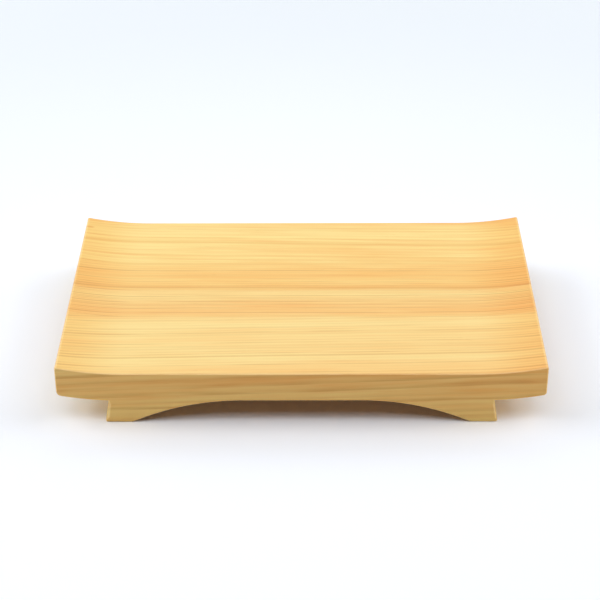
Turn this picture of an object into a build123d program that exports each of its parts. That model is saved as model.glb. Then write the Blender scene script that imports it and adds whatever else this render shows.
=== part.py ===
from build123d import *
import os
from math import radians, sqrt, tan

# Sushi geta board: a low serving board of pale softwood on two feet, with upswept ends.
# Four staves are edge-glued with hidden dowels, and one profile runs through all of them:
# the feet are what is left of the staves on both sides of the arched hollow underneath.
# Millimetres. X runs along the board, Y from front to back, Z up.
# The origin is on the table, under the middle of the board.

# Outside of the board
BOARD_LENGTH = 240.0
SERVING_HEIGHT = 28.6
BOARD_THICKNESS = 16.2
SWEEP_LENGTH = 35.0
TIP_RISE = 3.8

# Feet and the arched hollow between them
FOOT_INSET = 23.2
FOOT_FLARE = 2.0
SOLE_WIDTH = 13.4
ARCH_HEIGHT = 12.7
HAUNCH_ANGLE = 23.9
HAUNCH_RADIUS = 120.5

# Eased edges: the thread chamfer round both long faces, and the rounded lower ends
EDGE_CHAMFER = 0.6
END_ROUND = 2.0

# Staves, from the back of the board to the front
BACK_STAVE_WIDTH = 45.0
BACK_CENTRE_STAVE_WIDTH = 27.0
FRONT_CENTRE_STAVE_WIDTH = 26.0
FRONT_STAVE_WIDTH = 52.0

# Fluted dowels and the bores they are glued into
DOWEL_DIAMETER = 6.0
DOWEL_LENGTH = 20.0
DOWEL_CHAMFER = 0.8
DOWEL_CLEARANCE = 0.05
DOWEL_END_MARGIN = 34.5
OUTER_JOINT_DOWELS = 4
MIDDLE_JOINT_DOWELS = 3
GLUE_ROOM = 0.5
FLUTE_COUNT = 12
FLUTE_RADIUS = 0.35

# Sizes that follow from the ones above
half_length = BOARD_LENGTH / 2
flat_half = half_length - SWEEP_LENGTH
sweep_radius = (SWEEP_LENGTH**2 + TIP_RISE**2) / (2 * TIP_RISE)
sweep_centre = SERVING_HEIGHT + sweep_radius
under_radius = sweep_radius + BOARD_THICKNESS
tip_height = SERVING_HEIGHT + TIP_RISE
under_tip = sweep_centre - sqrt(under_radius**2 - SWEEP_LENGTH**2)

foot_outer = half_length - FOOT_INSET
foot_inner = foot_outer - SOLE_WIDTH
foot_neck = foot_outer - FOOT_FLARE
foot_top = sweep_centre - sqrt(under_radius**2 - (foot_neck - flat_half) ** 2)
haunch_corner = foot_inner - ARCH_HEIGHT / tan(radians(HAUNCH_ANGLE))
haunch_room = 0.95 * min(haunch_corner, foot_inner - haunch_corner)
haunch_radius = min(HAUNCH_RADIUS, haunch_room / tan(radians(HAUNCH_ANGLE / 2)))

dowel_height = (ARCH_HEIGHT + SERVING_HEIGHT) / 2
dowel_radius = DOWEL_DIAMETER / 2
bore_radius = dowel_radius + DOWEL_CLEARANCE
bore_depth = DOWEL_LENGTH / 2 + GLUE_ROOM
dowel_pitch = (BOARD_LENGTH - 2 * DOWEL_END_MARGIN) / (OUTER_JOINT_DOWELS - 1)

staves = [
    ("back_stave", BACK_STAVE_WIDTH),
    ("back_centre_stave", BACK_CENTRE_STAVE_WIDTH),
    ("front_centre_stave", FRONT_CENTRE_STAVE_WIDTH),
    ("front_stave", FRONT_STAVE_WIDTH),
]
back_face = sum(width for name, width in staves) / 2

# Glue joints: where each lies along Y, and the number of dowels in it
back_joint = back_face - BACK_STAVE_WIDTH
middle_joint = back_joint - BACK_CENTRE_STAVE_WIDTH
front_joint = middle_joint - FRONT_CENTRE_STAVE_WIDTH
joints = [
    ("back_joint", back_joint, OUTER_JOINT_DOWELS),
    ("middle_joint", middle_joint, MIDDLE_JOINT_DOWELS),
    ("front_joint", front_joint, OUTER_JOINT_DOWELS),
]

os.makedirs("parts", exist_ok=True)

# Profile of the whole board, seen from the front: the right half is drawn and mirrored
with BuildSketch() as profile:
    with BuildLine():
        flat_top = Line((0, SERVING_HEIGHT), (flat_half, SERVING_HEIGHT))
        swept_top = TangentArc(flat_top @ 1, (half_length, tip_height), tangent=(1, 0))
        end_cut = Line(swept_top @ 1, (half_length, under_tip))
        wing_underside = RadiusArc(end_cut @ 1, (foot_neck, foot_top), under_radius)
        foot_outside = Line(wing_underside @ 1, (foot_outer, 0))
        sole = Line(foot_outside @ 1, (foot_inner, 0))
        arch = FilletPolyline(
            sole @ 1, (haunch_corner, ARCH_HEIGHT), (0, ARCH_HEIGHT), radius=haunch_radius
        )
        mirror(about=Plane.YZ)
    make_face()
    end_corners = profile.vertices().group_by(Axis.X)[0] + profile.vertices().group_by(Axis.X)[-1]
    upper_corners = end_corners.group_by(Axis.Y)[-1]
    lower_corners = end_corners.group_by(Axis.Y)[0]
    sole_corners = profile.vertices().group_by(Axis.Y)[0]
    outer_corners = sole_corners.sort_by(Axis.X)[0:1] + sole_corners.sort_by(Axis.X)[-1:]
    chamfer(upper_corners, EDGE_CHAMFER)
    fillet(lower_corners, END_ROUND)
    chamfer(outer_corners, EDGE_CHAMFER)

# Staves: the same profile in four widths, bored for the dowels of the joints they touch
stave_back = back_face
for order, (stave_name, stave_width) in enumerate(staves):
    with BuildPart() as stave:
        with BuildSketch(Plane.XZ.offset(-stave_back)):
            add(profile.sketch)
        extrude(amount=stave_width)
        if order == 0:
            chamfer(stave.faces().sort_by(Axis.Y)[-1].edges(), EDGE_CHAMFER)
        if order == len(staves) - 1:
            chamfer(stave.faces().sort_by(Axis.Y)[0].edges(), EDGE_CHAMFER)
        for joint_name, joint_plane, dowel_count in joints[max(order - 1, 0) : order + 1]:
            with BuildSketch(Plane.XZ.offset(-joint_plane)):
                with Locations((0, dowel_height)):
                    with GridLocations(dowel_pitch, dowel_pitch, dowel_count, 1):
                        Circle(bore_radius)
            extrude(amount=bore_depth, both=True, mode=Mode.SUBTRACT)
    stave.part.label = stave_name
    export_step(stave.part, f"parts/{stave_name}.step")
    stave_back = stave_back - stave_width

# Dowels: chamfered at both ends and fluted along their length for the glue
for joint_name, joint_plane, dowel_count in joints:
    for number in range(dowel_count):
        along = (number - (dowel_count - 1) / 2) * dowel_pitch
        with BuildPart() as dowel:
            with BuildSketch(Plane.XZ.offset(-joint_plane)):
                with Locations((along, dowel_height)):
                    Circle(dowel_radius)
            extrude(amount=DOWEL_LENGTH / 2, both=True)
            chamfer(dowel.edges().filter_by(GeomType.CIRCLE), DOWEL_CHAMFER)
            with BuildSketch(Plane.XZ.offset(-joint_plane)):
                with Locations((along, dowel_height)):
                    with PolarLocations(dowel_radius, FLUTE_COUNT):
                        Circle(FLUTE_RADIUS)
            extrude(amount=DOWEL_LENGTH / 2, both=True, mode=Mode.SUBTRACT)
        dowel_name = f"{joint_name}_dowel_{number + 1}"
        dowel.part.label = dowel_name
        export_step(dowel.part, f"parts/{dowel_name}.step")
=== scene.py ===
"""Looks of a sushi geta board: four glued staves of pale softwood on a white studio floor.

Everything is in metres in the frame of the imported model: X along the board, Y from its front
face to its back face, Z up, with the origin on the table under the middle of the board.
Inside the shader groups lengths are in millimetres, because grain is read at that scale.
"""

import logging
from dataclasses import dataclass, field
from enum import Enum
from functools import cached_property
from math import cos, hypot, pi, radians, sin, sqrt, tan
from typing import Any, Iterable, NamedTuple, Sequence

import bmesh
import bpy
from mathutils import Matrix, Vector

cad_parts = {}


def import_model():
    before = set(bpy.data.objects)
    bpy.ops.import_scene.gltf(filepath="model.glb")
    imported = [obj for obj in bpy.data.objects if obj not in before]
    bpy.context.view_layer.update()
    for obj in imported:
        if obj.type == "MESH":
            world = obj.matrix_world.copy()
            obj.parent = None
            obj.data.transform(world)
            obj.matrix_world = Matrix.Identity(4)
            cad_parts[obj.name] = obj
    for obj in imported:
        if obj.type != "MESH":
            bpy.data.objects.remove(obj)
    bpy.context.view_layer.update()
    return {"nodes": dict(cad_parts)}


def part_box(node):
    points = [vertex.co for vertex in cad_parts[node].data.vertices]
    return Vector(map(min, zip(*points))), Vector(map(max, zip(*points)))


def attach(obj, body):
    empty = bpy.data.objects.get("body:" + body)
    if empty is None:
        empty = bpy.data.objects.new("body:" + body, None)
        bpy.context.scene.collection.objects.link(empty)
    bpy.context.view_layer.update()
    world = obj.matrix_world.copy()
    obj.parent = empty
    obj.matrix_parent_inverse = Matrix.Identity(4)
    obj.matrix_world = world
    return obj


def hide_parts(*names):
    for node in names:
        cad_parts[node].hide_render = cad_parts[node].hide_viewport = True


LOG = logging.getLogger("geta_board")
MM = 0.001

# Mesh attribute that marks eased edges, which get a painted highlight, and the height of the wood's relief
EASED = "eased"
RELIEF = 0.04 * MM

Colour = tuple[float, float, float, float]
Lengths = tuple[float, float, float]
Range = tuple[float, float]
Socket = bpy.types.NodeSocket
Tree = bpy.types.NodeTree
Feed = Socket | float | int | Sequence[float]


class FaceKind(Enum):
    """What a long face of a stave is."""

    OUTSIDE = "outside"
    GLUED = "glued"


class TintKind(Enum):
    """How a tint lies on the wood, in the Mix node's words."""

    STAIN = "MULTIPLY"
    COVER = "MIX"


# Shader building


class Web:
    """A shader node tree with short calls for adding nodes and joining them."""

    def __init__(self, tree: Tree) -> None:
        """Keeps the node tree of a material, a world or a group."""
        self.tree = tree

    def feed(self, socket: Socket, value: Feed) -> None:
        """Links a socket to another one, or sets its own value.

        Args:
            socket: Input socket.
            value: Output socket to link, or a constant.
        """
        if isinstance(value, bpy.types.NodeSocket):
            self.tree.links.new(value, socket)
        else:
            socket.default_value = value

    def feed_all(self, sockets: bpy.types.NodeInputs, values: dict[str, Feed]) -> None:
        """Feeds sockets by name, where underscores stand for the spaces in their names."""
        for name, value in values.items():
            self.feed(sockets[name.replace("_", " ")], value)

    def node(
        self, kind: str, feeds: dict[str | int, Feed] | None = None, **settings: Any
    ) -> bpy.types.Node:
        """Adds one node.

        Args:
            kind: Blender's name for the node's type.
            feeds: Values or links by input name or number.
            **settings: Properties of the node itself.

        Returns:
            The new node.
        """
        made = self.tree.nodes.new(kind)
        for name, value in settings.items():
            setattr(made, name, value)
        for name, value in (feeds or {}).items():
            self.feed(made.inputs[name], value)
        return made

    def math(self, operation: str, *values: Feed, clamp: bool = False) -> Socket:
        """Adds a Math node, which may hold its result between 0 and 1."""
        feeds = dict(enumerate(values))
        return self.node("ShaderNodeMath", feeds, operation=operation, use_clamp=clamp).outputs[0]

    def total(self, base: Feed, *parts: tuple[Socket, Feed]) -> Feed:
        """Adds weighted values to a base.

        Args:
            base: What they are added to.
            *parts: Each value with its weight.

        Returns:
            The total.
        """
        for value, weight in parts:
            base = self.math("MULTIPLY_ADD", value, weight, base)
        return base

    def vector(self, x: Feed, y: Feed, z: Feed) -> Socket:
        """Joins three values to a vector."""
        return self.node("ShaderNodeCombineXYZ", {0: x, 1: y, 2: z}).outputs[0]

    def split(self, vector: Feed) -> tuple[Socket, Socket, Socket]:
        """Splits a vector into its three components."""
        outputs = self.node("ShaderNodeSeparateXYZ", {0: vector}).outputs
        return outputs[0], outputs[1], outputs[2]

    def scaled(self, vector: Feed, size: Lengths) -> Socket:
        """Divides a vector by a length on each axis, which stretches a pattern to that size."""
        shares = tuple(1 / length for length in size)
        return self.node("ShaderNodeVectorMath", {0: vector, 1: shares}, operation="MULTIPLY").outputs[0]

    def millimetres(self) -> Socket:
        """Reads where a point of the piece lies, in millimetres."""
        return self.scaled(self.node("ShaderNodeTexCoord").outputs["Object"], (MM, MM, MM))

    def noise(
        self, place: Feed, seed: Feed, size: Lengths, detail: float = 2.0, roughness: float = 0.5
    ) -> Socket:
        """Adds smooth noise.

        Args:
            place: Where the noise is read.
            seed: Number that picks one pattern among many.
            size: Distance from hill to hill on each axis.
            detail: Number of finer layers.
            roughness: Strength of each finer layer.

        Returns:
            The noise, from 0 to 1.
        """
        feeds = {"Vector": self.scaled(place, size), "W": seed, "Scale": 1.0}
        feeds |= {"Detail": detail, "Roughness": roughness}
        return self.node("ShaderNodeTexNoise", feeds, noise_dimensions="4D").outputs[0]

    def chance(self, value: Feed) -> Socket:
        """Gives each number its own random value from 0 to 1."""
        return self.node("ShaderNodeTexWhiteNoise", {"W": value}, noise_dimensions="1D").outputs[0]

    def ramp(self, value: Feed, low: Feed, high: Feed, to_low: float = 0.0, to_high: float = 1.0) -> Socket:
        """Maps the range from low to high onto another one, with a smooth start and end."""
        feeds = {"Value": value, "From Min": low, "From Max": high, "To Min": to_low, "To Max": to_high}
        return self.node("ShaderNodeMapRange", feeds, interpolation_type="SMOOTHSTEP").outputs[0]

    def blend(self, factor: Feed, first: Feed, second: Feed, kind: TintKind = TintKind.COVER) -> Socket:
        """Blends two colours.

        Args:
            factor: How much of the second colour shows.
            first: The colour underneath.
            second: The colour on top.
            kind: How it lies there.

        Returns:
            The blended colour.
        """
        made = self.node("ShaderNodeMix", data_type="RGBA", blend_type=kind.value, clamp_factor=True)
        # The Mix node has sockets for other kinds of data too, and these are the ones for colours
        for number, value in ((0, factor), (6, first), (7, second)):
            self.feed(made.inputs[number], value)
        return made.outputs[2]

    def group(self, tree: Tree, **feeds: Feed) -> dict[str, Socket]:
        """Places a shared group.

        Args:
            tree: The group.
            **feeds: Its inputs, with underscores for the spaces in their names.

        Returns:
            Its outputs by name.
        """
        made = self.node("ShaderNodeGroup", node_tree=tree)
        self.feed_all(made.inputs, feeds)
        return {output.name: output for output in made.outputs}


class GroupWeb(Web):
    """A node group while it is being built."""

    def __init__(
        self, name: str, inputs: dict[str, float], outputs: Iterable[str], vector_inputs: Iterable[str] = ()
    ) -> None:
        """Makes the group with its named sockets.

        Args:
            name: Name of the group.
            inputs: Number inputs with their starting values.
            outputs: Names of the outputs. One named Grain is a vector, the others are values.
            vector_inputs: Names of vector inputs.
        """
        super().__init__(bpy.data.node_groups.new(name, "ShaderNodeTree"))
        for socket in vector_inputs:
            self.tree.interface.new_socket(socket, in_out="INPUT", socket_type="NodeSocketVector")
        for socket, value in inputs.items():
            made = self.tree.interface.new_socket(socket, in_out="INPUT", socket_type="NodeSocketFloat")
            made.default_value = value
        for socket in outputs:
            kind = "NodeSocketVector" if socket == "Grain" else "NodeSocketFloat"
            self.tree.interface.new_socket(socket, in_out="OUTPUT", socket_type=kind)
        self.given = self.tree.nodes.new("NodeGroupInput").outputs
        self.result = self.tree.nodes.new("NodeGroupOutput").inputs

    def give(self, **results: Feed) -> Tree:
        """Joins the results to the group's outputs.

        Args:
            **results: Outputs, with underscores for the spaces in their names.

        Returns:
            The finished group.
        """
        self.feed_all(self.result, results)
        return self.tree


class Skin(Web):
    """The nodes of a new material, round its shader."""

    def __init__(self, name: str) -> None:
        """Makes the material.

        Args:
            name: Name of the material.
        """
        self.material = bpy.data.materials.new(name)
        self.material.use_nodes = True
        super().__init__(self.material.node_tree)
        self.shader = self.tree.nodes["Principled BSDF"]

    def take(self, **values: Feed) -> bpy.types.Material:
        """Feeds the shader's inputs by name and gives the material."""
        self.feed_all(self.shader.inputs, values)
        return self.material

    def relief(self, height: Socket, strength: float) -> Socket:
        """Turns heights into the normals of the wood's relief."""
        feeds = {"Strength": strength, "Distance": RELIEF, "Height": height}
        return self.node("ShaderNodeBump", feeds).outputs[0]


class GrainKit:
    """The wood effects that every piece shares, each one a shader group built when it is first used."""

    # Sizes of patterns in millimetres: along the grain, across the rings and the other way
    SLOW_WAVE = (80, 16, 16)
    QUICK_WAVE = (22, 5, 5)
    STREAK = (14, 0.22, 1.5)
    SHADE = (60, 2.0, 25)
    BLOTCH = (70, 9, 40)
    FADE = (34, 1.6, 9)
    CANAL = (4.5, 0.32, 0.6)
    CANAL_PLACE = (30, 4, 4)
    CUTTER_WANDER = (12, 30, 30)
    HIGHLIGHT_PATCH = (9, 2, 2)

    # Ranges over which a pattern turns into a mask
    FADE_RANGE = (0.3, 0.68)
    CANAL_RANGE = (0.74, 0.82)
    CANAL_PLACE_RANGE = (0.5, 0.65)
    HIGHLIGHT_RANGE = (0.25, 0.6)

    # Ranges of the direction of a face over which it turns into one kind of face
    END_LEAN = (0.75, 0.95)
    SWEEP_LEAN = (0.0, 0.20)
    FACING_UP = (0.0, 0.5)
    FACING_ASIDE = (0.55, 0.9)
    FACING_DOWN = (-0.5, -0.85)

    # Parts of a year in which a ring darkens and ends, and the run of rings in which their width changes
    DARKENING = (0.25, 0.88)
    ENDING = (0.90, 1.0)
    RING_DRIFT = (1 / 0.37, 1, 1)

    # Strength of the quick waves, of the faintest ring and of the weakest painted edge highlight, against
    # the most
    QUICK_SHARE = 0.25
    FAINTEST_RING = 0.2
    LEAST_HIGHLIGHT = 0.35

    # How rare strong rings are, and how rough the shading is
    STRONG_RARITY = 1.6
    SHADE_ROUGHNESS = 0.62

    # How far noise moves a ring, against its waviness and its irregularity
    WAVE_SWING = 2.0
    DRIFT_SWING = 4.0

    @cached_property
    def log_frame(self) -> Tree:
        """Places the stave in the log it was sawn from.

        Growth is the distance, in millimetres from the back edge of the board, at which the
        growth ring through a point comes out on the serving face. Rings are round the pith,
        which lies behind and above the stave.

        Returns:
            The group.
        """
        sizes = {
            "Back Edge": 75.0, "Serving Height": 28.6, "Pith Behind": 90.0, "Pith Above": 63.0,
            "Slope": 0.0, "Waviness": 0.8, "Seed": 0.0,
        }
        web = GroupWeb("Log frame", sizes, ("Growth", "Along", "Grain"))
        given = web.given
        place = web.millimetres()
        x, y, z = web.split(place)
        behind = web.math("SUBTRACT", given["Pith Behind"], y)
        height = web.math("SUBTRACT", z, given["Serving Height"])
        above = web.math("SUBTRACT", given["Pith Above"], height)
        ring_square = web.math("ADD", web.math("POWER", behind, 2.0), web.math("POWER", above, 2.0))
        out_square = web.math("SUBTRACT", ring_square, web.math("POWER", given["Pith Above"], 2.0))
        outcrop = web.math("SQRT", web.math("MAXIMUM", out_square, 1.0))
        start = web.math("SUBTRACT", given["Back Edge"], given["Pith Behind"])
        ring = web.math("ADD", start, outcrop)
        sloped = web.total(ring, (x, given["Slope"]))
        slow = web.noise(place, given["Seed"], self.SLOW_WAVE, detail=1.0)
        quick = web.noise(place, given["Seed"], self.QUICK_WAVE, detail=1.0)
        wave = web.total(slow, (quick, self.QUICK_SHARE))
        centred = web.math("SUBTRACT", wave, (1 + self.QUICK_SHARE) / 2)
        swing = web.math("MULTIPLY", given["Waviness"], self.WAVE_SWING)
        growth = web.total(sloped, (centred, swing))
        return web.give(Growth=growth, Along=x, Grain=web.vector(x, growth, z))

    @cached_property
    def growth_rings(self) -> Tree:
        """Draws the yearly rings: each darkens slowly to its latewood and ends sharply.

        Returns:
            The group.
        """
        sizes = {"Growth": 0.0, "Pitch": 2.0, "Irregularity": 0.5, "Seed": 0.0}
        web = GroupWeb("Growth rings", sizes, ("Latewood", "Ring Tone"))
        given = web.given
        count = web.math("DIVIDE", given["Growth"], given["Pitch"])
        drift = web.noise(web.vector(count, 0.0, 0.0), given["Seed"], self.RING_DRIFT)
        swing = web.math("MULTIPLY", given["Irregularity"], self.DRIFT_SWING)
        shift = web.math("MULTIPLY", web.math("SUBTRACT", drift, 0.5), swing)
        phase = web.math("ADD", web.math("ADD", count, shift), given["Seed"])
        year = web.math("FLOOR", phase)
        season = web.math("FRACT", phase)
        darkening = web.ramp(season, *self.DARKENING)
        ending = web.ramp(season, *self.ENDING, 1.0, 0.0)
        luck = web.math("POWER", web.chance(year), self.STRONG_RARITY)
        strength = web.total(self.FAINTEST_RING, (luck, 1 - self.FAINTEST_RING))
        latewood = web.math("MULTIPLY", web.math("MULTIPLY", darkening, ending), strength)
        tone = web.chance(web.math("ADD", year, 0.5))
        return web.give(Latewood=latewood, Ring_Tone=tone)

    @cached_property
    def strong_ring(self) -> Tree:
        """Picks out one ring that stands out from the rest.

        Returns:
            The group.
        """
        sizes = {"Growth": 0.0, "At": 0.0, "Rise": 1.5, "Fall": 0.6}
        web = GroupWeb("Strong ring", sizes, ("Mask",))
        given = web.given
        past = web.math("SUBTRACT", given["Growth"], given["At"])
        before = web.ramp(past, web.math("MULTIPLY", given["Rise"], -1.0), 0.0)
        after = web.ramp(past, 0.0, given["Fall"], 1.0, 0.0)
        return web.give(Mask=web.math("MULTIPLY", before, after))

    @cached_property
    def fibre(self) -> Tree:
        """Draws the fibres that run along the grain.

        Streak is hair fine, Shade is a millimetre or two wide, Blotch is a slow change of tone,
        Fade is how well a ring shows along its length, and Canals are short dark resin lines.

        Returns:
            The group.
        """
        web = GroupWeb("Fibre", {"Seed": 0.0}, ("Streak", "Shade", "Blotch", "Fade", "Canals"), ("Grain",))
        grain, seed = web.given["Grain"], web.given["Seed"]
        streak = web.noise(grain, seed, self.STREAK)
        shade = web.noise(grain, seed, self.SHADE, detail=3.0, roughness=self.SHADE_ROUGHNESS)
        blotch = web.noise(grain, seed, self.BLOTCH, detail=1.0)
        fade = web.ramp(web.noise(grain, seed, self.FADE, detail=1.0), *self.FADE_RANGE)
        dashes = web.ramp(web.noise(grain, seed, self.CANAL, detail=0.0), *self.CANAL_RANGE)
        places = web.ramp(web.noise(grain, seed, self.CANAL_PLACE, detail=0.0), *self.CANAL_PLACE_RANGE)
        canals = web.math("MULTIPLY", dashes, places)
        return web.give(Streak=streak, Shade=shade, Blotch=blotch, Fade=fade, Canals=canals)

    @cached_property
    def cut_faces(self) -> Tree:
        """Tells the faces apart by the direction they face.

        Sweep is where a curve cuts the fibres at a slant, End Grain where a face cuts them
        straight across, Side the long faces, Underside all that faces down, and Hollow the
        underside of the hollow between the feet, which is darkened there as painted shade.

        Returns:
            The group.
        """
        outputs = ("End Grain", "Sweep", "Side", "Underside", "Hollow")
        web = GroupWeb("Cut faces", {"Hollow Half": 83.4}, outputs)
        x, y, z = web.split(web.node("ShaderNodeTexCoord").outputs["Normal"])
        lean = web.math("ABSOLUTE", x)
        end = web.ramp(lean, *self.END_LEAN)
        sweep = web.math("MULTIPLY", web.ramp(lean, *self.SWEEP_LEAN), web.ramp(z, *self.FACING_UP))
        side = web.ramp(web.math("ABSOLUTE", y), *self.FACING_ASIDE)
        under = web.ramp(z, *self.FACING_DOWN)
        along = web.math("ABSOLUTE", web.split(web.millimetres())[0])
        between = web.math("LESS_THAN", along, web.given["Hollow Half"])
        # Where the painted shade of the hollow goes
        hollow = web.math("MULTIPLY", under, between)
        return web.give(End_Grain=end, Sweep=sweep, Side=side, Underside=under, Hollow=hollow)

    @cached_property
    def cutter_marks(self) -> Tree:
        """Draws the fine ripples that a rotating cutter leaves across the grain.

        Returns:
            The group.
        """
        web = GroupWeb("Cutter marks", {"Along": 0.0, "Pitch": 1.8, "Seed": 0.0}, ("Ripple",), ("Grain",))
        given = web.given
        wander = web.noise(given["Grain"], given["Seed"], self.CUTTER_WANDER, detail=1.0)
        turn = web.math("DIVIDE", given["Along"], given["Pitch"])
        wave = web.math("SINE", web.math("MULTIPLY", web.math("ADD", turn, wander), 2 * pi))
        return web.give(Ripple=web.total(0.5, (wave, 0.5)))

    @cached_property
    def edge_highlight(self) -> Tree:
        """Paints a highlight along the eased edges, stronger in some patches than in others.

        Returns:
            The group.
        """
        web = GroupWeb("Edge wear", {"Seed": 0.0}, ("Wear",), ("Grain",))
        eased = web.node("ShaderNodeAttribute", attribute_name=EASED).outputs["Fac"]
        patches = web.noise(web.given["Grain"], web.given["Seed"], self.HIGHLIGHT_PATCH)
        amount = web.ramp(patches, *self.HIGHLIGHT_RANGE, self.LEAST_HIGHLIGHT, 1.0)
        return web.give(Wear=web.math("MULTIPLY", eased, amount))

    @cached_property
    def glue_line(self) -> Tree:
        """Draws the hairline where two staves meet.

        Returns:
            The group.
        """
        web = GroupWeb("Glue line", {"Front": -75.0, "Back": 75.0, "Width": 0.12}, ("Line",))
        given = web.given
        y = web.split(web.millimetres())[1]
        ahead = web.math("SUBTRACT", y, given["Front"])
        beyond = web.math("SUBTRACT", given["Back"], y)
        return web.give(Line=web.ramp(web.math("MINIMUM", ahead, beyond), 0.0, given["Width"], 1.0, 0.0))


# Finishes


@dataclass(frozen=True)
class Band:
    """A stretch of tone across the serving face.

    Attributes:
        at: Millimetres from the back edge of the board.
        warmth: From 0 for the palest wood to 1 for the warmest.
        lines: How much of the yearly rings shows here.
    """

    at: float
    warmth: float
    lines: float = 1.0


@dataclass(frozen=True)
class StrongRing:
    """A ring that shows as a line of its own.

    Attributes:
        at: Millimetres from the back edge of the board, in the middle of its length.
        depth: How dark it is, from 0 to 1.
        rise: Millimetres over which it darkens.
        fall: Millimetres over which it ends.
    """

    at: float
    depth: float
    rise: float = 1.6
    fall: float = 0.7

    def mask(self, web: Web, kit: GrainKit, grain: dict[str, Socket]) -> Socket:
        """Draws the ring, as a mask from 0 to 1."""
        sizes = {"Growth": grain["Growth"], "At": self.at, "Rise": self.rise, "Fall": self.fall}
        return web.group(kit.strong_ring, **sizes)["Mask"]


@dataclass(frozen=True)
class Fleck:
    """A short dark fleck of resin in one ring.

    Attributes:
        along: Millimetres to the right of the middle of the board.
        at: Millimetres from the back edge of the board.
        length: Its length in millimetres.
        width: Its width in millimetres.
        depth: How dark it is, from 0 to 1.
    """

    along: float
    at: float
    length: float
    width: float
    depth: float

    def mask(self, web: Web, grain: dict[str, Socket]) -> Socket:
        """Draws the fleck, full over the middle third of its length and soft at its ends and sides.

        Args:
            web: The material's nodes.
            grain: Outputs of the shared groups.

        Returns:
            Where it shows, from 0 to 1.
        """
        ahead = web.math("ABSOLUTE", web.math("SUBTRACT", grain["Along"], self.along))
        aside = web.math("ABSOLUTE", web.math("SUBTRACT", grain["Growth"], self.at))
        lengthwise = web.ramp(ahead, self.length / 6, self.length / 2, 1.0, 0.0)
        return web.math("MULTIPLY", lengthwise, web.ramp(aside, 0.0, self.width / 2, 1.0, 0.0))


@dataclass(frozen=True)
class Tint:
    """A colour that one kind of face or flaw gives the wood, or painted light or shade laid on it.

    Attributes:
        colour: The colour.
        share: How much of it shows.
        kind: Whether it stains the wood's own colour or covers it.
    """

    colour: Colour
    share: float = 1.0
    kind: TintKind = TintKind.STAIN

    def laid(self, web: Web, mask: Socket, colour: Socket) -> Socket:
        """Lays the tint over a colour where its mask shows."""
        return web.blend(web.math("MULTIPLY", mask, self.share), colour, self.colour, self.kind)


# What the faces and flaws of a stave give its colour, some of it painted light and shade, what they add to
# its roughness, and their height
FACE_TINTS: dict[str, Tint] = {
    "Canals": Tint((0.72, 0.56, 0.38, 1.0), 0.35),
    # Side: a warmer hue of the side grain, and painted light that brightens the long faces beyond the
    # wood's own colour
    "Side": Tint((1.07, 1.03, 0.885, 1.0)),
    "Sweep": Tint((0.985, 0.86, 0.69, 1.0)),
    # Hollow: painted shade that darkens the underside of the hollow between the feet
    "Hollow": Tint((0.72, 0.52, 0.34, 1.0)),
    "End Grain": Tint((0.80, 0.70, 0.58, 1.0), 0.8),
    # Painted highlight: a paler colour laid over the eased edges
    "Wear": Tint((1.0, 0.70, 0.346, 1.0), 0.5, TintKind.COVER),
    "Line": Tint((0.62, 0.45, 0.30, 1.0), 0.4),
}
ADDED_ROUGHNESS: dict[str, float] = {"Late": -0.08, "Shade": 0.08, "End Grain": 0.2}
ADDED_HEIGHT: dict[str, float] = {"Late": 0.6, "Streak": 0.5, "Ripple": 0.8, "Line": -1.5}

# How much the shading, the slow changes of tone, the rings and the fibres warm the wood
SHADE_WARMTH, BLOTCH_WARMTH, RING_WARMTH, STREAK_WARMTH = 0.9, 0.6, 0.12, 0.45


@dataclass(frozen=True)
class Seat:
    """Where a stave sits in the board, as its grain needs to know it.

    Attributes:
        front: Where its front face lies along Y, in metres.
        back: Where its back face lies.
        board_back: Where the board's back face lies.
        serving_height: Height of the serving face.
        hollow_half: Half of the width of the hollow between the feet.
    """

    front: float
    back: float
    board_back: float
    serving_height: float
    hollow_half: float


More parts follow.
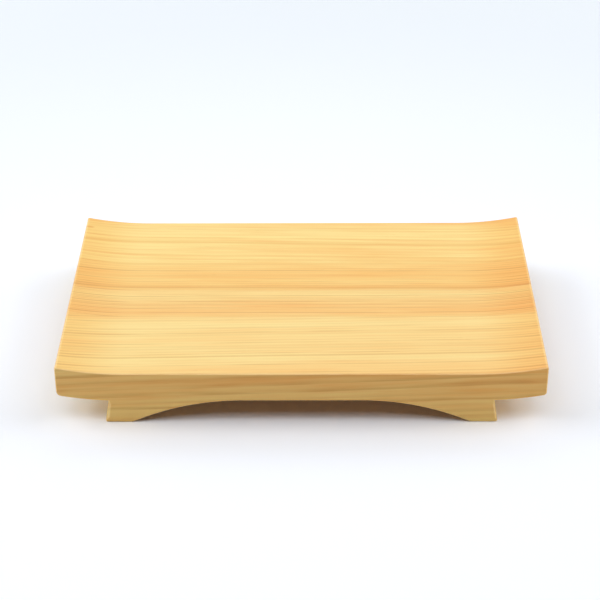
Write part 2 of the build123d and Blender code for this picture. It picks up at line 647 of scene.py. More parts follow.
@dataclass(frozen=True)
class Softwood:
    """Finish of one stave: planed, satin softwood.

    Attributes:
        seed: Number that sets this stave's pattern apart.
        pitch: Width of a yearly ring in millimetres.
        slope: How far the rings drift forward for each millimetre to the left.
        bands: Tones across the stave.
        strong_rings: Rings that stand out.
        flecks: Flecks of resin.
        pale: Colour of the palest wood.
        warm: Colour of the warmest wood.
        late: Colour that latewood is tinted by.
        ring_depth: How dark the yearly rings are.
        least_ring: How much of a ring shows where it fades.
        ring_fade: How much more of it shows where it doesn't.
        figure: How strongly the slower shading between the rings shows.
        side_contrast: How much stronger rings and shading are on the long sides.
        sweep_contrast: How much stronger the rings are on the upswept ends.
        drift: How much warmer the wood turns for each millimetre to the right.
        pith_behind: How far behind the middle of the stave the pith lies, in millimetres.
        pith_above: How far above the serving face it lies.
        roughness: Roughness of plain wood.
        specular: How strongly it reflects.
        bump: Strength of its relief.
    """

    seed: float
    pitch: float
    slope: float
    bands: tuple[Band, ...]
    strong_rings: tuple[StrongRing, ...] = ()
    flecks: tuple[Fleck, ...] = ()
    pale: Colour = (0.884, 0.663, 0.242, 1.0)
    warm: Colour = (0.854, 0.476, 0.131, 1.0)
    late: Colour = (0.83, 0.735, 0.61, 1.0)
    ring_depth: float = 0.72
    least_ring: float = 0.3
    ring_fade: float = 1.3
    figure: float = 1.0
    side_contrast: float = 1.35
    sweep_contrast: float = 0.9
    drift: float = 0.0008
    pith_behind: float = 90.0
    pith_above: float = 63.0
    roughness: float = 0.50
    specular: float = 0.35
    bump: float = 0.35

    def material(self, name: str, kit: GrainKit, seat: Seat) -> bpy.types.Material:
        """Makes the finish.

        Args:
            name: Name of the material.
            kit: The shared groups.
            seat: Where the stave sits in the board.

        Returns:
            The material.
        """
        skin = Skin(name)
        grain = self._grain(skin, kit, seat)
        contrast = skin.total(1.0, (grain["Side"], self.side_contrast))
        band_warmth, band_lines = self._bands(skin, grain["Growth"])
        warmth = self._warmth(skin, grain, contrast, band_warmth)
        grain["Late"] = self._latewood(skin, kit, grain, contrast, band_lines)
        colour = skin.blend(warmth, self.pale, self.warm)
        colour = skin.blend(grain["Late"], colour, self.late, TintKind.STAIN)
        for place, tint in FACE_TINTS.items():
            colour = tint.laid(skin, grain[place], colour)
        glosses = [(grain[place], share) for place, share in ADDED_ROUGHNESS.items()]
        heights = [(grain[place], share) for place, share in ADDED_HEIGHT.items()]
        return skin.take(
            Base_Color=colour,
            Roughness=skin.total(self.roughness, *glosses),
            Normal=skin.relief(skin.total(0.0, *heights), self.bump),
            Specular_IOR_Level=self.specular,
        )

    def _grain(self, web: Web, kit: GrainKit, seat: Seat) -> dict[str, Socket]:
        """Places the shared groups.

        Args:
            web: The material's nodes.
            kit: The shared groups.
            seat: Where the stave sits in the board.

        Returns:
            Their outputs by name, with cutter marks on the underside alone.
        """
        grain = web.group(
            kit.log_frame,
            Back_Edge=seat.board_back / MM,
            Serving_Height=seat.serving_height / MM,
            Pith_Behind=(seat.front + seat.back) / 2 / MM + self.pith_behind,
            Pith_Above=self.pith_above,
            Slope=self.slope,
            Seed=self.seed,
        )
        along, lie = grain["Along"], grain["Grain"]
        grain |= web.group(kit.growth_rings, Growth=grain["Growth"], Pitch=self.pitch, Seed=self.seed)
        grain |= web.group(kit.fibre, Grain=lie, Seed=self.seed)
        grain |= web.group(kit.cut_faces, Hollow_Half=seat.hollow_half / MM)
        grain |= web.group(kit.edge_highlight, Grain=lie, Seed=self.seed)
        grain |= web.group(kit.cutter_marks, Grain=lie, Along=along, Seed=self.seed)
        grain |= web.group(kit.glue_line, Front=seat.front / MM, Back=seat.back / MM)
        grain["Ripple"] = web.math("MULTIPLY", grain["Ripple"], grain["Underside"])
        return grain

    def _latewood(
        self, web: Web, kit: GrainKit, grain: dict[str, Socket], contrast: Feed, lines: Socket
    ) -> Socket:
        """Works out how dark the rings and flecks are at each point.

        Args:
            web: The material's nodes.
            kit: The shared groups.
            grain: Outputs of the shared groups.
            contrast: How strong the grain is on this face.
            lines: How much of the yearly rings shows in this band.

        Returns:
            The darkness, from 0 to 1.
        """
        depth = web.total(contrast, (grain["Sweep"], self.sweep_contrast))
        shown = web.total(self.least_ring, (grain["Fade"], self.ring_fade))
        late = web.math("MULTIPLY", grain["Latewood"], shown)
        late = web.math("MULTIPLY", late, lines)
        late = web.math("MULTIPLY", late, web.math("MULTIPLY", depth, self.ring_depth), clamp=True)
        marks = [(ring.mask(web, kit, grain), ring.depth) for ring in self.strong_rings]
        marks += [(fleck.mask(web, grain), fleck.depth) for fleck in self.flecks]
        for mask, darkness in marks:
            late = web.math("MULTIPLY_ADD", mask, darkness, late, clamp=True)
        return late

    def _bands(self, web: Web, growth: Socket) -> tuple[Socket, Socket]:
        """Reads the bands of tone across the stave.

        Args:
            web: The material's nodes.
            growth: Where the growth ring comes out on the serving face.

        Returns:
            How warm the wood is there, and how much of the yearly rings shows.
        """
        first, last = self.bands[0].at, self.bands[-1].at
        place = web.node("ShaderNodeMapRange", {"Value": growth, "From Min": first, "From Max": last})
        ramp = web.node("ShaderNodeValToRGB", {"Fac": place.outputs[0]})
        stops = ramp.color_ramp.elements
        while len(stops) < len(self.bands):
            stops.new(0.5)
        for stop, band in zip(stops, self.bands):
            stop.position = (band.at - first) / (last - first)
            stop.color = (band.warmth, band.lines, 0.0, 1.0)
        ramp.color_ramp.interpolation = "EASE"
        tones = web.node("ShaderNodeSeparateColor", {"Color": ramp.outputs["Color"]}).outputs
        return tones["Red"], tones["Green"]

    def _warmth(self, web: Web, grain: dict[str, Socket], contrast: Feed, band: Socket) -> Socket:
        """Works out how warm the wood is at each point.

        Args:
            web: The material's nodes.
            grain: Outputs of the shared groups.
            contrast: How strong the grain is on this face.
            band: How warm the band is there.

        Returns:
            The warmth, from 0 to 1.
        """
        amounts = {
            "Shade": web.math("MULTIPLY", contrast, SHADE_WARMTH * self.figure),
            "Blotch": BLOTCH_WARMTH * self.figure,
            "Ring Tone": RING_WARMTH,
            "Streak": STREAK_WARMTH,
        }
        warmth = web.total(band, (grain["Along"], self.drift))
        for pattern, amount in amounts.items():
            warmth = web.total(warmth, (web.math("SUBTRACT", grain[pattern], 0.5), amount))
        return web.math("MAXIMUM", web.math("MINIMUM", warmth, 1.0), 0.0)


@dataclass(frozen=True)
class DowelBeech:
    """Finish of the hidden dowels: plain turned beech.

    Attributes:
        pale: Colour of the palest wood.
        dark: Colour of the darkest wood.
        seed: Number that sets its pattern apart.
        pitch: Width of a yearly ring in millimetres.
        ring_share: How much the rings darken it.
        shade_share: How much the shading between them does.
        roughness: Roughness between the fibres.
        streak_roughness: What the fibres add to it.
        bump: Strength of the relief.
    """

    pale: Colour = (0.62, 0.43, 0.26, 1.0)
    dark: Colour = (0.50, 0.32, 0.18, 1.0)
    seed: float = 9.0
    pitch: float = 1.4
    ring_share: float = 0.4
    shade_share: float = 0.6
    roughness: float = 0.62
    streak_roughness: float = 0.1
    bump: float = 0.3

    def material(self, kit: GrainKit) -> bpy.types.Material:
        """Makes the finish, whose grain runs along Y as the dowels do.

        Args:
            kit: The shared groups.

        Returns:
            The material.
        """
        skin = Skin("dowel_beech")
        x, y, z = skin.split(skin.millimetres())
        fibre = skin.group(kit.fibre, Grain=skin.vector(y, x, z), Seed=self.seed)
        rings = skin.group(kit.growth_rings, Growth=x, Pitch=self.pitch, Seed=self.seed)
        tone = skin.total(0.0, (fibre["Shade"], self.shade_share), (rings["Latewood"], self.ring_share))
        return skin.take(
            Base_Color=skin.blend(tone, self.pale, self.dark),
            Roughness=skin.total(self.roughness, (fibre["Streak"], self.streak_roughness)),
            Normal=skin.relief(fibre["Streak"], self.bump),
        )


STAVE_FINISHES: dict[str, Softwood] = {
    "back_stave": Softwood(
        seed=1.0, pitch=3.2, slope=-0.025, ring_depth=0.40, figure=1.8, drift=0.0011,
        pith_behind=70.0, pith_above=35.0,
        pale=(0.884, 0.663, 0.236, 1.0), warm=(0.854, 0.476, 0.125, 1.0), late=(0.89, 0.69, 0.43, 1.0),
        bands=(
            Band(-4, 0.70), Band(3, 0.40), Band(6, 0.24), Band(10, 0.12), Band(14, 0.02), Band(18, 0.04),
            Band(21, 0.26), Band(27, 0.24), Band(34, 0.28), Band(38, 0.30), Band(43, 0.24), Band(50, 0.5),
        ),
        strong_rings=(StrongRing(23.6, 0.70, 2.4, 1.0), StrongRing(37.5, 0.34, 2.0, 1.0)),
        flecks=(Fleck(along=-118.6, at=11.0, length=8.0, width=3.4, depth=1.0),),
    ),
    "back_centre_stave": Softwood(
        seed=2.0, pitch=2.2, slope=-0.004, pith_behind=120.0, pith_above=50.0,
        pale=(0.884, 0.663, 0.233, 1.0), warm=(0.854, 0.476, 0.125, 1.0),
        bands=(
            Band(40, 0.48), Band(46, 0.52), Band(52, 0.76), Band(57, 0.72), Band(63, 0.58), Band(68, 0.78),
            Band(71, 0.66), Band(76, 0.60),
        ),
        strong_rings=(StrongRing(52.5, 0.25), StrongRing(58.0, 0.25), StrongRing(69.8, 0.75, 3.0, 1.6)),
    ),
    "front_centre_stave": Softwood(
        seed=3.0, pitch=1.5, slope=0.004, ring_depth=1.3, pith_behind=100.0, pith_above=30.0,
        pale=(0.884, 0.663, 0.249, 1.0), warm=(0.854, 0.476, 0.138, 1.0),
        bands=(
            Band(66, 0.60), Band(71, 0.50), Band(75, 0.28), Band(79, 0.32), Band(84, 0.56), Band(88, 0.78),
            Band(93, 0.82), Band(97, 0.62), Band(102, 0.50),
        ),
        strong_rings=(StrongRing(80.5, 0.35), StrongRing(86.5, 0.45)),
    ),
    "front_stave": Softwood(
        seed=4.0, pitch=2.4, slope=0.025, ring_depth=0.74, drift=0.0014,
        pale=(0.884, 0.663, 0.253, 1.0), warm=(0.854, 0.476, 0.138, 1.0),
        bands=(
            Band(92, 0.60), Band(98, 0.42), Band(101, 0.20), Band(105, 0.02), Band(112, 0.24),
            Band(124, 0.30), Band(130, 0.26), Band(136, 0.10), Band(141, 0.38), Band(147, 0.46),
            Band(149.5, 0.46), Band(151, 0.74), Band(153.5, 0.54), Band(157, 0.42),
            Band(161, 0.24, 0.5), Band(164, 0.14, 0.4), Band(176, 0.06, 0.4),
        ),
        strong_rings=(
            StrongRing(114.0, 0.28), StrongRing(126.5, 0.36), StrongRing(133.6, 0.80),
            StrongRing(150.9, 0.32, 1.5, 0.9),
        ),
    ),
}


# Board


def placed(name: str, data: bpy.types.ID) -> bpy.types.Object:
    """Puts an object in the scene.

    Args:
        name: Its name.
        data: Its mesh, camera or light.

    Returns:
        The object.
    """
    made = bpy.data.objects.new(name, data)
    bpy.context.scene.collection.objects.link(made)
    return made


class OutlinePoint(NamedTuple):
    """A point on the board's outline, seen from the front.

    Attributes:
        x: Distance to the right of the middle.
        z: Height above the table.
        lit_edge: How much of an eased edge it is, from 0 to 1.
        ease: Size of the eased edge of the long faces here, against the usual size.
    """

    x: float
    z: float
    # Sets how much painted highlight the eased edge gets here
    lit_edge: float = 0.0
    ease: float = 1.0


@dataclass(frozen=True)
class BoardProfile:
    """Outline of the board seen from the front, the same for every stave.

    Attributes:
        half_length: Half of the board's length.
        serving_height: From the table to the flat of the top.
        thickness: Of the board itself, between the top and the underside of an end.
        sweep_length: Length of each upswept end.
        tip_rise: How far an end rises.
        foot_inset: From the end of the board to the heel of a foot.
        foot_flare: How far a foot widens outward from its top to its heel.
        sole_width: Width of a foot where it stands.
        arch_height: From the table to the crown of the arch.
        haunch_angle: Slope of the arch where it meets a foot.
        haunch_radius: Radius that blends the slope into the crown.
        corner_round: Size of the rounding of the upper corner of an end.
        heel_round: Size of the rounding of the heel of a foot.
        tip_rounds: Size of the rounding of the lower corner of the left and the right end.
        foot_eases: Size of the eased upright edge of the left and the right foot, against other edges.
        foot_run: Length over which that edge runs out at the top and at the heel.
        end_lead: Length of end below the upper corner that sets the rounding's direction.
        tip_lead: Length of end and of underside at the lower corner that does so there.
    """

    # Numbers of pieces in the stretches of the outline
    TOP_STEPS = 12
    SWEEP_STEPS = 16
    CORNER_STEPS = 5
    TIP_STEPS = 8
    WING_STEPS = 10
    HAUNCH_STEPS = 24
    CROWN_STEPS = 6

    half_length: float
    serving_height: float = 0.0286
    thickness: float = 0.0162
    sweep_length: float = 0.035
    tip_rise: float = 0.0038
    foot_inset: float = 0.0232
    foot_flare: float = 0.002
    sole_width: float = 0.0134
    arch_height: float = 0.0127
    haunch_angle: float = radians(23.9)
    haunch_radius: float = 0.1205
    corner_round: float = 0.0013
    heel_round: float = 0.0012
    tip_rounds: tuple[float, float] = (0.0024, 0.0017)
    foot_eases: tuple[float, float] = (3.2, 2.2)
    foot_run: float = 0.002
    end_lead: float = 0.004
    tip_lead: float = 0.006

    @property
    def foot_outer(self) -> float:
        """Where the heel of a foot is."""
        return self.half_length - self.foot_inset

    @property
    def foot_inner(self) -> float:
        """Where the arch starts."""
        return self.foot_outer - self.sole_width

    @property
    def flat_half(self) -> float:
        """Half of the flat stretch of the top."""
        return self.half_length - self.sweep_length

    @property
    def sweep_radius(self) -> float:
        """Radius of the upswept ends on top."""
        return (self.sweep_length**2 + self.tip_rise**2) / (2 * self.tip_rise)

    def _swept(self, x: float, drop: float = 0.0) -> OutlinePoint:
        """Finds a point on the top of an upswept end, or on a line that runs level below it.

        Args:
            x: Distance from the middle of the board.
            drop: How far below the top the line runs.

        Returns:
            The point.
        """
        run = max(x - self.flat_half, 0.0)
        height = self.serving_height + self.sweep_radius - sqrt((self.sweep_radius + drop) ** 2 - run**2)
        return OutlinePoint(x, height)

    def _half(self, tip_round: float, foot_ease: float) -> list[OutlinePoint]:
        """Draws the right half, from the middle of the top round to the middle of the arch.

        Args:
            tip_round: Size of the rounding of the lower corner of the end.
            foot_ease: Size of the eased upright edge of the foot, against other edges.

        Returns:
            Points from the top round to the arch.
        """
        end, outer, inner = self.half_length, self.foot_outer, self.foot_inner
        flat = evenly(0.0, self.flat_half, self.TOP_STEPS)[:-1]
        points = [OutlinePoint(x, self.serving_height) for x in flat]
        sweep = evenly(self.flat_half, end - 2 * self.corner_round, self.SWEEP_STEPS)
        points += [self._swept(x) for x in sweep]
        tip = self._swept(end)
        below = OutlinePoint(end, tip.z - self.end_lead)
        points += rounded(points[-1], tip, below, self.corner_round, self.CORNER_STEPS)
        under = self._swept(end, self.thickness)
        above = OutlinePoint(end, under.z + self.tip_lead)
        inward = self._swept(end - self.tip_lead, self.thickness)
        points += rounded(above, under, inward, tip_round, self.TIP_STEPS)
        wing = evenly(inward.x, outer - self.foot_flare, self.WING_STEPS)
        points += [self._swept(x, self.thickness) for x in wing]
        top = points[-1].z
        for z in (top - self.foot_run, self.heel_round + self.foot_run):
            points.append(OutlinePoint(outer - self.foot_flare * z / top, z, ease=foot_ease))
        start = OutlinePoint(inner, 0.0)
        points += rounded(points[-1], OutlinePoint(outer, 0.0), start, self.heel_round, self.CORNER_STEPS)
        points.append(start)
        tangent = self.haunch_radius * tan(self.haunch_angle / 2)
        crown_end = inner - self.arch_height / tan(self.haunch_angle) - tangent
        for angle in evenly(self.haunch_angle, 0.0, self.HAUNCH_STEPS):
            x = crown_end + self.haunch_radius * sin(angle)
            points.append(OutlinePoint(x, self.arch_height - self.haunch_radius * (1 - cos(angle))))
        crown = evenly(crown_end, 0.0, self.CROWN_STEPS)[1:]
        return points + [OutlinePoint(x, self.arch_height) for x in crown]

    def outline(self) -> list[OutlinePoint]:
        """Draws the whole outline, clockwise as seen from the front."""
        left, right = (self._half(*sizes) for sizes in zip(self.tip_rounds, self.foot_eases))
        return right + [point._replace(x=-point.x) for point in reversed(left[1:-1])]


def evenly(start: float, stop: float, count: int) -> list[float]:
    """Divides a stretch into a number of even pieces and gives their ends in order."""
    return [start + (stop - start) * step / count for step in range(count + 1)]


def rounded(
    before: OutlinePoint, corner: OutlinePoint, after: OutlinePoint, size: float, steps: int
) -> list[OutlinePoint]:
    """Rounds one corner of an outline.

    Args:
        before: A point on the line that comes to the corner.
        corner: The corner.
        after: A point on the line that leaves it.
        size: Length that the rounding takes from each line.
        steps: Number of pieces in the curve.

    Returns:
        Points of a smooth curve from one line to the other, with the painted edge highlight strongest in
        its middle.
    """
    ends = []
    for point in (before, after):
        share = size / hypot(point.x - corner.x, point.z - corner.z)
        ends.append((corner.x + (point.x - corner.x) * share, corner.z + (point.z - corner.z) * share))
    curve = []
    for t in evenly(0.0, 1.0, steps):
        weights = ((1 - t) ** 2, 2 * t * (1 - t), t**2)
        x, z = (weights[0] * ends[0][i] + weights[1] * corner[i] + weights[2] * ends[1][i] for i in (0, 1))
        curve.append(OutlinePoint(x, z, lit_edge=sin(pi * t)))
    return curve


def inset(outline: Sequence[OutlinePoint], amount: float) -> list[OutlinePoint]:
    """Moves an outline inward all round.

    Args:
        outline: Points of a closed outline, clockwise.
        amount: How far it moves, where its ease is one.

    Returns:
        The moved points.
    """
    # Keeps the move within bounds at a sharp corner
    sharpest = 0.2
    moved = []
    for number, point in enumerate(outline):
        last, following = outline[number - 1], outline[(number + 1) % len(outline)]
        normals = []
        for a, b in ((last, point), (point, following)):
            span = hypot(b.x - a.x, b.z - a.z)
            normals.append(((b.z - a.z) / span, (a.x - b.x) / span))
        (ax, az), (bx, bz) = normals
        share = amount * point.ease / max(1 + ax * bx + az * bz, sharpest)
        moved.append(point._replace(x=point.x + (ax + bx) * share, z=point.z + (az + bz) * share))
    return moved


@dataclass(frozen=True)
class Bore:
    """A blind hole for half of a dowel.

    Attributes:
        x: Where it is along the board.
        z: Its height.
        radius: Its radius.
        depth: Its depth.
    """

    x: float
    z: float
    radius: float
    depth: float


@dataclass
class Stave:
    """One full-length stave, rebuilt with eased edges and with bores for its dowels.

    Attributes:
        node: Name of the CAD node that it stands for.
        profile: The board's outline.
        faces: What its front and its back face are.
        bores: Bores in its front and in its back face.
        thread: Size of the eased edge round an outside face.
        hairline: Size of the ease along a glued edge.
        ease_steps: Number of pieces in an eased edge.
        ease_round: Share of a round in its shape, the rest being a flat chamfer.
        bore_sides: Number of sides of a bore.
        bore_point: Depth of the drill's point, against the radius of the bore.
        crease: Angle from which an edge is shaded as sharp.
        piece: The stave itself, once it is built.
    """

    node: str
    profile: BoardProfile
    faces: tuple[FaceKind, FaceKind]
    bores: tuple[list[Bore], list[Bore]]
    thread: float = 0.0006
    hairline: float = 0.00004
    ease_steps: int = 5
    ease_round: float = 0.5
    bore_sides: int = 32
    bore_point: float = 0.25
    crease: float = radians(35)
    piece: bpy.types.Object | None = field(default=None, init=False)

    @property
    def span(self) -> tuple[float, float]:
        """Where the stave's front and back face lie along Y."""
        low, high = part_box(self.node)
        return low.y, high.y

    def _sections(self) -> list[tuple[float, float, float]]:
        """Lists the sections from the front face to the back face.

        Returns:
            For each section its place along Y, how far it is inset, and how eased it is.
        """
        front, back = self.span
        flat = 1 - self.ease_round
        ends = []
        for face, place, inward in ((self.faces[0], front, 1), (self.faces[1], back, -1)):
            outside = face is FaceKind.OUTSIDE
            size = self.thread if outside else self.hairline
            rows = []
            for t in evenly(0.0, 1.0, self.ease_steps if outside else 1):
                along = self.ease_round * (1 - cos(pi / 2 * t)) + flat * t
                across = self.ease_round * (1 - sin(pi / 2 * t)) + flat * (1 - t)
                mark = sin(pi * t) if outside else 0.0
                rows.append((place + inward * size * along, size * across, mark))
            ends.append(rows)
        return ends[0] + ends[1][::-1]

    def build(self) -> None:
        """Makes the stave's mesh and seats it in the frame."""
        mesh = bmesh.new()
        eased = mesh.verts.layers.float.new(EASED)
        outline = self.profile.outline()
        rows = []
        for place, depth, mark in self._sections():
            points = inset(outline, depth) if depth else outline
            row = [mesh.verts.new((point.x, place, point.z)) for point in points]
            for vert, point in zip(row, points):
                vert[eased] = max(mark, point.lit_edge)
            rows.append(row)
        for near, far in zip(rows, rows[1:]):
            for number in range(len(outline)):
                after = (number + 1) % len(outline)
                mesh.faces.new((near[number], near[after], far[after], far[number]))
        for row, bores, inward in ((rows[0], self.bores[0], 1), (rows[-1], self.bores[1], -1)):
            self._close(mesh, row, bores, inward)
        bmesh.ops.recalc_face_normals(mesh, faces=mesh.faces)
        for face in mesh.faces:
            face.smooth = True
        data = bpy.data.meshes.new(f"{self.node}_wood")
        mesh.to_mesh(data)
        mesh.free()
        data.set_sharp_from_angle(angle=self.crease)
        piece = placed(f"{self.node}_wood", data)
        weighted = piece.modifiers.new("even_shading", "WEIGHTED_NORMAL")
        weighted.keep_sharp = True
        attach(piece, "root")
        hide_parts(self.node)
        self.piece = piece

    def _close(
        self, mesh: bmesh.types.BMesh, row: list[bmesh.types.BMVert], bores: list[Bore], inward: int
    ) -> None:
        """Closes one long face, with a bore for each dowel.

        Args:
            mesh: The mesh being built.
            row: Vertices round the face.
            bores: Bores that open in the face.
            inward: Which way along Y is into the stave.
        """
        place = row[0].co.y
        rims = [list(zip(row, row[1:] + row[:1]))]
        for bore in bores:
            turns = [2 * pi * side / self.bore_sides for side in range(self.bore_sides)]
            ring = [(bore.x + bore.radius * cos(turn), bore.z + bore.radius * sin(turn)) for turn in turns]
            mouth = [mesh.verts.new((x, place, z)) for x, z in ring]
            floor = [mesh.verts.new((x, place + inward * bore.depth, z)) for x, z in ring]
            deepest = bore.depth + bore.radius * self.bore_point
            point = mesh.verts.new((bore.x, place + inward * deepest, bore.z))
            for side in range(self.bore_sides):
                after = (side + 1) % self.bore_sides
                mesh.faces.new((mouth[side], mouth[after], floor[after], floor[side]))
                mesh.faces.new((floor[side], floor[after], point))
            rims.append(list(zip(mouth, mouth[1:] + mouth[:1])))
        edges = [mesh.edges.get(pair) or mesh.edges.new(pair) for rim in rims for pair in rim]
        outward = (0, -inward, 0)
        bmesh.ops.triangle_fill(mesh, use_beauty=True, use_dissolve=False, edges=edges, normal=outward)

    def dress(self, finish: Softwood, kit: GrainKit, board_back: float) -> None:
        """Gives the stave its finish.

        Args:
            finish: The finish.
            kit: The shared groups.
            board_back: Where the board's back face lies along Y.
        """
        front, back = self.span
        seat = Seat(front, back, board_back, self.profile.serving_height, self.profile.foot_inner)
        self.piece.data.materials.append(finish.material(f"{self.node}_wood", kit, seat))


@dataclass
class GetaBoard:
    """The whole board: four staves and the dowels in their joints.

    Attributes:
        nodes: The CAD nodes by name.
        stave_names: Staves from the back to the front.
        joint_names: Glue joints from the back to the front.
        dowel_clearance: Gap round a dowel in its bore.
        glue_room: Gap at each end of a dowel.
        staves: The staves, once they are built.
    """

    nodes: dict[str, bpy.types.Object]
    stave_names: tuple[str, ...] = ("back_stave", "back_centre_stave", "front_centre_stave", "front_stave")
    joint_names: tuple[str, ...] = ("back_joint", "middle_joint", "front_joint")
    dowel_clearance: float = 0.00005
    glue_room: float = 0.0005
    staves: list[Stave] = field(default_factory=list, init=False)

    def _dowels(self, joint: str) -> list[str]:
        """Names the dowels of a joint."""
        return sorted(name for name in self.nodes if name.startswith(f"{joint}_dowel"))

    def _bores(self, joint: str) -> list[Bore]:
        """Works out the bores on either side of a joint from its dowels.

        Args:
            joint: Name of the joint.

        Returns:
            One bore for each dowel.
        """
        made = []
        for name in self._dowels(joint):
            low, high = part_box(name)
            middle, size = (low + high) / 2, high - low
            radius = size.x / 2 + self.dowel_clearance
            made.append(Bore(middle.x, middle.z, radius, size.y / 2 + self.glue_room))
        return made

    def build(self) -> None:
        """Builds the staves."""
        profile = BoardProfile(half_length=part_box(self.stave_names[0])[1].x)
        joints = [self._bores(joint) for joint in self.joint_names]
        for order, name in enumerate(self.stave_names):
            behind = joints[order - 1] if order else []
            ahead = joints[order] if order < len(joints) else []
            kinds = tuple(FaceKind.GLUED if bores else FaceKind.OUTSIDE for bores in (ahead, behind))
            stave = Stave(name, profile, kinds, (ahead, behind))
            stave.build()
            self.staves.append(stave)
            LOG.info("built %s", name)

    def dress(self, kit: GrainKit) -> None:
        """Gives every piece its finish.

        Args:
            kit: The shared groups.
        """
        board_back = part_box(self.stave_names[0])[1].y
        for stave in self.staves:
            stave.dress(STAVE_FINISHES[stave.node], kit, board_back)
            LOG.info("dressed %s", stave.node)
        beech = DowelBeech().material(kit)
        for joint in self.joint_names:
            for name in self._dowels(joint):
                data = self.nodes[name].data
                data.materials.clear()
                data.materials.append(beech)
                LOG.info("dressed %s", name)


# Studio


@dataclass(frozen=True)
class PhotoCamera:
    """Camera at the photograph's viewing angle.

    Attributes:
        place: Where the camera stands.
        pitch: How far it looks down.
        yaw: How far it looks to the right.
        roll: How far it leans.
        focal_pixels: Focal length in pixels of the picture.
        picture_pixels: Width of the picture in pixels.
        sensor: Width of the sensor in millimetres.
        clip: Nearest and farthest distance that it shows.
    """

    place: tuple[float, float, float] = (0.005081, -0.757464, 0.496756)
    pitch: float = radians(31.954)
    yaw: float = radians(-0.46)
    roll: float = radians(-0.319)
    focal_pixels: float = 1703.4
    picture_pixels: float = 600.0
    sensor: float = 36.0
    clip: tuple[float, float] = (0.01, 50.0)

    def build(self) -> None:
        """Makes the camera and sets it as the scene's."""
        level = cos(self.pitch)
        forward = Vector((sin(self.yaw) * level, cos(self.yaw) * level, -sin(self.pitch)))
        right = Vector((cos(self.yaw), -sin(self.yaw), 0.0))
        up = right.cross(forward)
        leaned_right = cos(self.roll) * right + sin(self.roll) * up
        leaned_up = -sin(self.roll) * right + cos(self.roll) * up
        turn = Matrix((leaned_right, leaned_up, -forward)).transposed()
        data = bpy.data.cameras.new("photo_camera")
        data.sensor_width = self.sensor
        data.lens = self.focal_pixels * self.sensor / self.picture_pixels
        data.clip_start, data.clip_end = self.clip
        made = placed("photo_camera", data)
        made.matrix_world = Matrix.Translation(self.place) @ turn.to_4x4()
        bpy.context.scene.camera = made


@dataclass(frozen=True)
class Softbox:
    """A large soft light that faces the board.

    Attributes:
        name: Name of the light.
        azimuth: Direction it stands in, from the right of the board towards its back.
        elevation: How high it stands.
        width: Its width.
        height: Its height.
        power: Its power in watts.
        distance: How far it is from the board.
        tint: Colour of its light, a little cool.
    """

    name: str
    azimuth: float
    elevation: float
    width: float
    height: float
    power: float
    distance: float = 2.0
    tint: tuple[float, float, float] = (0.97, 0.985, 1.04)

    def build(self) -> None:
        """Hangs the light."""
        data = bpy.data.lights.new(self.name, "AREA")
        data.shape = "RECTANGLE"
        data.size, data.size_y = self.width, self.height
        data.energy = self.power
        data.color = self.tint
        lamp = placed(self.name, data)
        level = cos(self.elevation)
        away = Vector((level * cos(self.azimuth), level * sin(self.azimuth), sin(self.elevation)))
        lamp.location = away * self.distance
        lamp.rotation_mode = "QUATERNION"
        lamp.rotation_quaternion = (-away).to_track_quat("-Z", "Y")
        lamp.visible_camera = False


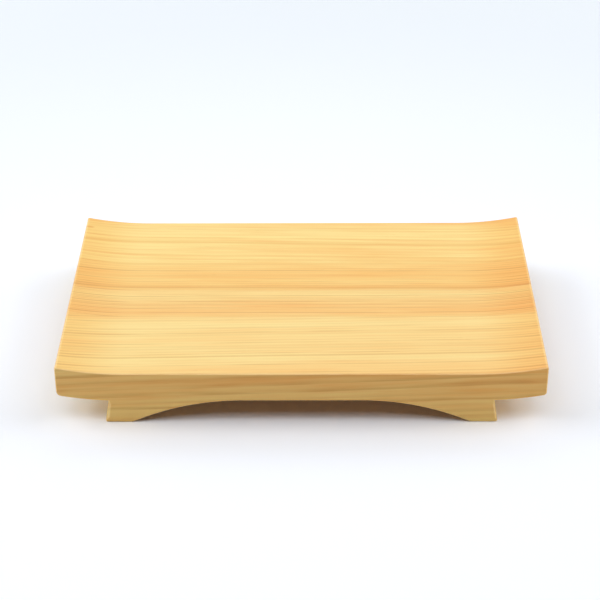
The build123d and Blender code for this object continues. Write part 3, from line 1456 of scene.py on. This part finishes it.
@dataclass
class Studio:
    """Pale floor, soft lights all round and overhead, and a white surround.

    Attributes:
        floor_size: Side of the floor.
        floor_pieces: Number of pieces along a side.
        floor_gap: How far the floor lies below the soles, so that the two don't touch.
        fade: Distances from the board between which the floor fades into the surround.
        near_colour: Colour of the floor under and in front of the board.
        far_colour: Colour of the floor far from there, greyer as a painted falloff of the light.
        near_centre: Where the near colour is purest.
        near_reach: Distances from there between which it turns to the far colour.
        floor_roughness: Roughness of the floor.
        floor_specular: How strongly it reflects.
        lights: The soft lights.
        fill: Brightness of the light that comes from all round.
        fill_colour: Colour of that light.
        surround: Colour of the surround to the eye.
    """

    floor_size: float = 3.2
    floor_pieces: int = 8
    floor_gap: float = 0.02 * MM
    fade: Range = (1.0, 1.5)
    near_colour: Colour = (0.948, 0.974, 0.992, 1.0)
    far_colour: Colour = (0.825, 0.863, 0.87, 1.0)
    near_centre: tuple[float, float, float] = (0.0, -0.08, 0.0)
    near_reach: Range = (0.15, 0.55)
    floor_roughness: float = 0.9
    floor_specular: float = 0.1
    lights: tuple[Softbox, ...] = (
        Softbox("left_panel", radians(164), radians(30), 1.8, 1.4, 20.6),
        Softbox("left_softbox", radians(182), radians(57), 1.3, 1.2, 9.3),
        Softbox("right_panel", radians(20), radians(30), 1.8, 1.4, 17.9),
        Softbox("right_softbox", radians(-2), radians(57), 1.3, 1.2, 8.4),
        Softbox("overhead_softbox", radians(270), radians(66), 1.3, 0.9, 11.2),
        Softbox("back_softbox", radians(90), radians(36), 1.8, 1.1, 7.6),
        Softbox("front_panel", radians(270), radians(10), 1.6, 0.5, 2.7),
    )
    fill: float = 0.02
    fill_colour: Colour = (0.95, 0.97, 1.0, 1.0)
    surround: Colour = (1.0, 1.0, 1.0, 1.0)

    def build(self) -> None:
        """Makes the floor, the lights and the surround."""
        self._floor()
        for light in self.lights:
            light.build()
            LOG.info("hung %s", light.name)
        self._surround()
        bpy.context.scene.view_settings.view_transform = "Standard"

    def _floor(self) -> None:
        """Lays the floor, which turns a little greyer away from the board as a painted falloff of the
        light, and fades out far from it.
        """
        mesh = bmesh.new()
        count = self.floor_pieces
        bmesh.ops.create_grid(mesh, x_segments=count, y_segments=count, size=self.floor_size / 2)
        data = bpy.data.meshes.new("studio_floor")
        mesh.to_mesh(data)
        mesh.free()
        floor = placed("studio_floor", data)
        floor.location.z = -self.floor_gap
        skin = Skin("studio_floor")
        place = skin.node("ShaderNodeTexCoord").outputs["Object"]
        reach = skin.node("ShaderNodeVectorMath", {0: place, 1: self.near_centre}, operation="DISTANCE")
        far = skin.ramp(reach.outputs["Value"], *self.near_reach)
        spread = skin.node("ShaderNodeVectorMath", {0: place}, operation="LENGTH")
        # The greyer far colour is a painted falloff of the light
        skin.take(
            Base_Color=skin.blend(far, self.near_colour, self.far_colour),
            Alpha=skin.ramp(spread.outputs["Value"], *self.fade, 1.0, 0.0),
            Roughness=self.floor_roughness,
            Specular_IOR_Level=self.floor_specular,
        )
        data.materials.append(skin.material)

    def _surround(self) -> None:
        """Makes the surround: white to the eye and in reflections, dim as a light."""
        world = bpy.data.worlds.new("studio_surround")
        world.use_nodes = True
        web = Web(world.node_tree)
        world.node_tree.nodes.clear()
        path = web.node("ShaderNodeLightPath").outputs
        mirrored = web.math("MAXIMUM", path["Is Glossy Ray"], path["Is Transmission Ray"])
        seen = web.math("MAXIMUM", path["Is Camera Ray"], mirrored)
        dim = web.node("ShaderNodeBackground", {"Color": self.fill_colour, "Strength": self.fill})
        white = web.node("ShaderNodeBackground", {"Color": self.surround, "Strength": 1.0})
        mixed = web.node("ShaderNodeMixShader", {0: seen, 1: dim.outputs[0], 2: white.outputs[0]})
        web.node("ShaderNodeOutputWorld", {"Surface": mixed.outputs[0]})
        bpy.context.scene.world = world


def main() -> None:
    """Builds the board and the studio in order."""
    logging.basicConfig(level=logging.INFO, format="%(message)s")
    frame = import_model()
    PhotoCamera().build()
    Studio().build()
    kit = GrainKit()
    board = GetaBoard(frame["nodes"])
    board.build()
    board.dress(kit)


if __name__ == "__main__":
    main()
